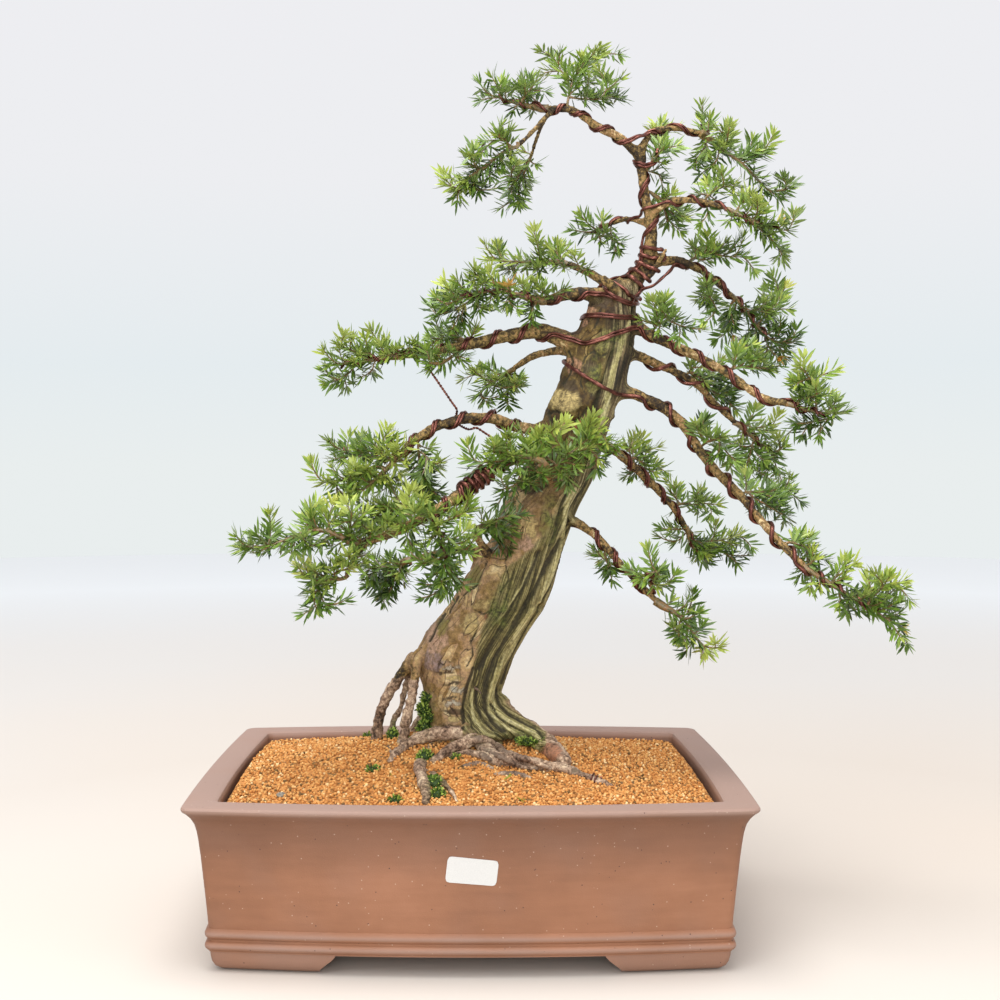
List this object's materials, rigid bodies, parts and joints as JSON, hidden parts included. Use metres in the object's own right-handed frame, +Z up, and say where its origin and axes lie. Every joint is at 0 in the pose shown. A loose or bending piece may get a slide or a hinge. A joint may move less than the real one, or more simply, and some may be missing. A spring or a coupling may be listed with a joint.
{
  "type": "english yew bonsai",
  "caption": "Leaning yew bonsai with a fluted deadwood trunk, surface and aerial roots, wired branches and needle sprays, in a rectangular stoneware pot with a wide lip, belts and corner feet.",
  "frame": {"origin": "under the middle of the whole tree's bounding box, on the surface that the pot's feet stand on", "axes": "+Z up, +X along the pot's long side, to the side that the trunk leans to, -Y towards the front of the pot"},
  "size_m": [0.6895, 0.4172, 0.9014],
  "materials": {
    "stoneware": "matt unglazed red-brown stoneware",
    "clay_grains": "matt orange-tan fired clay grains, 2 to 4 mm",
    "yew_wood": "flaking red-brown bark, and pale bleached deadwood",
    "wire": "copper brown anodised, satin",
    "yew_needles": null,
    "paper": "blank white paper",
    "screen_plastic": "dark moulded mesh"
  },
  "bodies": {
    "root": {"label": "paper", "pot": "stoneware", "screen_left": "screen_plastic", "screen_right": "screen_plastic", "soil": "clay_grains", "spray_crown_hang": "yew_needles", "spray_crown_left": "yew_needles", "spray_crown_low": "yew_needles", "spray_crown_top": "yew_needles", "spray_front_left": "yew_needles", "spray_front_right": "yew_needles", "spray_front_stub": "yew_needles", "spray_leader_back": "yew_needles", "spray_leader_right": "yew_needles", "spray_left_1": "yew_needles", "spray_left_2": "yew_needles", "spray_left_2_back": "yew_needles", "spray_left_3": "yew_needles", "spray_left_3_back": "yew_needles", "spray_left_3_low": "yew_needles", "spray_left_3_up": "yew_needles", "spray_left_4": "yew_needles", "spray_left_4_low": "yew_needles", "spray_left_4_up": "yew_needles", "spray_left_5": "yew_needles", "spray_left_5_low": "yew_needles", "spray_left_5_right": "yew_needles", "spray_left_5_up": "yew_needles", "spray_left_6": "yew_needles", "spray_right_1": "yew_needles", "spray_right_2": "yew_needles", "spray_right_2_up": "yew_needles", "spray_right_3": "yew_needles", "spray_right_3_low": "yew_needles", "spray_right_3_up": "yew_needles", "spray_right_4": "yew_needles", "spray_right_4_near": "yew_needles", "spray_right_4_up": "yew_needles", "spray_right_5": "yew_needles", "spray_right_5_near": "yew_needles", "spray_right_6": "yew_needles", "spray_right_6_far": "yew_needles", "spray_right_6_middle": "yew_needles", "spray_right_6_near": "yew_needles", "spray_right_7": "yew_needles", "spray_right_7_middle": "yew_needles", "spray_right_7_up": "yew_needles", "spray_right_8": "yew_needles", "spray_right_8_near": "yew_needles", "spray_right_8_up": "yew_needles", "wire_base": "wire", "wire_crown": "wire", "wire_leader": "wire", "wire_lower": "wire", "wire_middle": "wire", "wire_neck": "wire", "wire_tie": "wire", "wire_top": "wire", "wire_upper": "wire", "wood": "yew_wood"}
  },
  "joints": []
}
